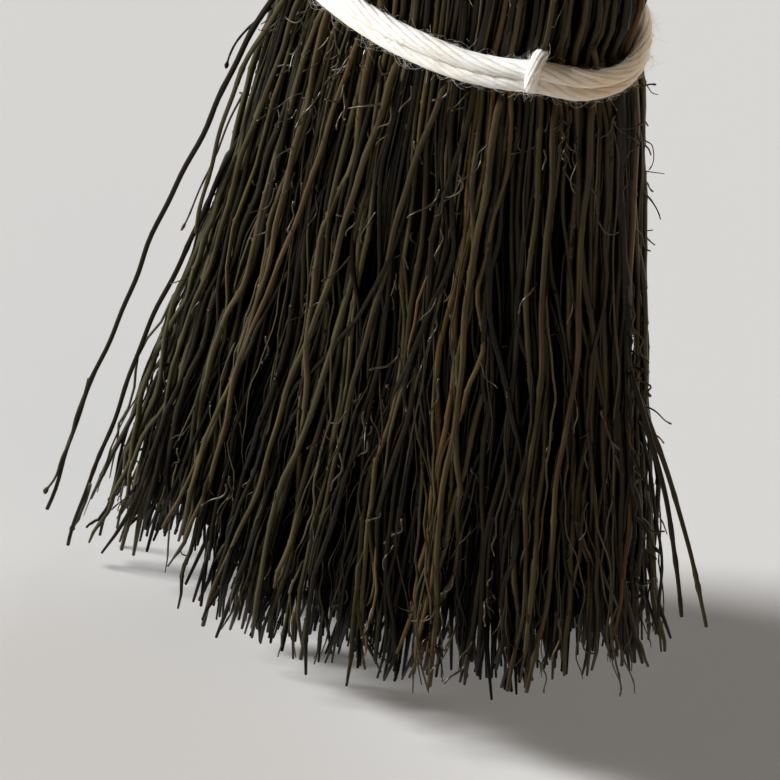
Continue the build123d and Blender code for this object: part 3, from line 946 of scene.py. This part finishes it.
def cord_tails():
    """The two ends of the top whipping, each led up to its nail and looped once under the head."""
    rng = np.random.default_rng(9)
    low, high = box_mm("cord_nails")
    nail_z = (low[2] + high[2]) / 2
    top_z, top_r = box_mm("top_whipping")[1][2], box_mm("top_whipping")[1][0]
    batches = []
    for side in (-1, 1):
        turn = np.linspace(0, 2 * np.pi * 0.9, TAIL_LOOP_SAMPLES)
        ring_x = TAIL_LOOP_R * np.sin(turn)
        ring_z = nail_z - TAIL_LOOP_R * np.cos(turn)
        ring = np.stack([ring_x, np.full(TAIL_LOOP_SAMPLES, side * TAIL_LOOP_SEAT), ring_z], -1)
        points = np.array([
            (side * 9.0, side * (top_r - 6.2), top_z - 2.5),
            (side * 6.5, side * (top_r - 4.0), top_z + 2.0),
            (side * 2.5, side * 15.0, top_z + 7.5),
            (side * 0.4, side * 13.0, nail_z - 3.2),
        ])
        s = np.linspace(0, 3, 40)
        lead = np.stack([np.interp(s, range(4), points[:, axis]) for axis in range(3)], -1)
        rounding = np.hanning(11) / np.hanning(11).sum()
        for axis in range(3):
            lead[1:-1, axis] = np.convolve(np.pad(lead[:, axis], 5, mode="edge"), rounding, "valid")[1:-1]
        path = np.concatenate([lead, ring[1:]])
        out = np.tile([0.0, side, 0.0], (len(path), 1))
        batches.append(plies(path, out, TAIL_D, 3, 8.0, 8))
        batches.append(fuzz(rng, path, out, TAIL_D, 90, (0.8, 2.4)))
    piece("whipping_tails", batches, [cotton], ())


# ---------------------------------------------------------------- CAD pieces that stay


def finish_cad_nodes():
    """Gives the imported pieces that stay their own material."""
    twine = twine_material()
    finishes = {
        "handle_shaft": wood_material(),
        "cord_nails": steel_material(),
        "inner_tie": twine,
        "shoulder_tie": twine,
    }
    for node, material in finishes.items():
        packed = frame["nodes"][node]
        packed.data.materials.clear()
        packed.data.materials.append(material)


# ---------------------------------------------------------------- stage


def stage():
    bpy.ops.mesh.primitive_plane_add(size=60)
    floor = bpy.context.object
    floor.name = "floor"
    floor.location.z = -0.0004
    m = Nodes("pale_floor")
    place = m.add("ShaderNodeTexCoord").outputs["Object"]
    faint = m.noise(place, 3.0, 3.0)
    colour = m.ramp(faint, [(0.3, (0.515, 0.505, 0.49)), (0.7, (0.52, 0.51, 0.495))])
    floor.data.materials.append(m.finish(colour, m.spread(faint, 0.6, 0.7)))

    world = bpy.data.worlds.new("studio")
    bpy.context.scene.world = world
    world.use_nodes = True
    sky = world.node_tree.nodes["Background"]
    sky.inputs["Color"].default_value = (0.93, 0.96, 1.0, 1)
    sky.inputs["Strength"].default_value = 0.03

    for name, aim, strength, angle, colour in (
        ("key", (0.80, 0.36, -0.52), 6.4, 9, (0.98, 0.99, 1.0)),
        ("fill", (-0.8, 0.45, -0.45), 0.7, 60, (1.0, 0.72, 0.46)),
        ("back", (-0.35, -0.85, -0.6), 1.2, 40, (0.92, 0.96, 1.0)),
    ):
        light = bpy.data.objects.new(name, bpy.data.lights.new(name, "SUN"))
        light.data.energy = strength
        light.data.angle = math.radians(angle)
        light.data.color = colour
        light.rotation_mode = "QUATERNION"
        light.rotation_quaternion = Vector(aim).to_track_quat("-Z", "Y")
        bpy.context.scene.collection.objects.link(light)


def camera():
    """Looks down on the fan from its front right, turned so that the handle leans to the right."""
    azimuth, elevation, roll = (math.radians(x) for x in (21.4, 44.0, 8.0))
    target = Vector((-0.0063, 0.0, 0.0938))
    distance, width_at_target = 6.0, 0.195
    back = Vector((
        math.sin(azimuth) * math.cos(elevation),
        -math.cos(azimuth) * math.cos(elevation),
        math.sin(elevation),
    ))
    made = bpy.data.objects.new("camera", bpy.data.cameras.new("camera"))
    made.data.sensor_width = 36.0
    made.data.lens = made.data.sensor_width * distance / width_at_target
    made.location = target + back * distance
    made.rotation_mode = "QUATERNION"
    made.rotation_quaternion = (-back).to_track_quat("-Z", "Y") @ Quaternion((0, 0, 1), roll)
    bpy.context.scene.collection.objects.link(made)
    bpy.context.scene.camera = made


camera()
stage()
cover_side("front", np.pi, 2 * np.pi, 11)
cover_side("back", 0.0, np.pi, 12)
bundles(13)
twigs(14)
loose_straws()
face_straws()
for number, level in enumerate(("lower", "middle", "upper")):
    band(level, 20 + number)
for number, node in enumerate(("neck_whipping", "middle_whipping", "top_whipping")):
    whipping(node, WHIP_D, 30 + number)
woven_neck()
cord_tails()
finish_cad_nodes()
bpy.context.scene.view_settings.view_transform = "Standard"
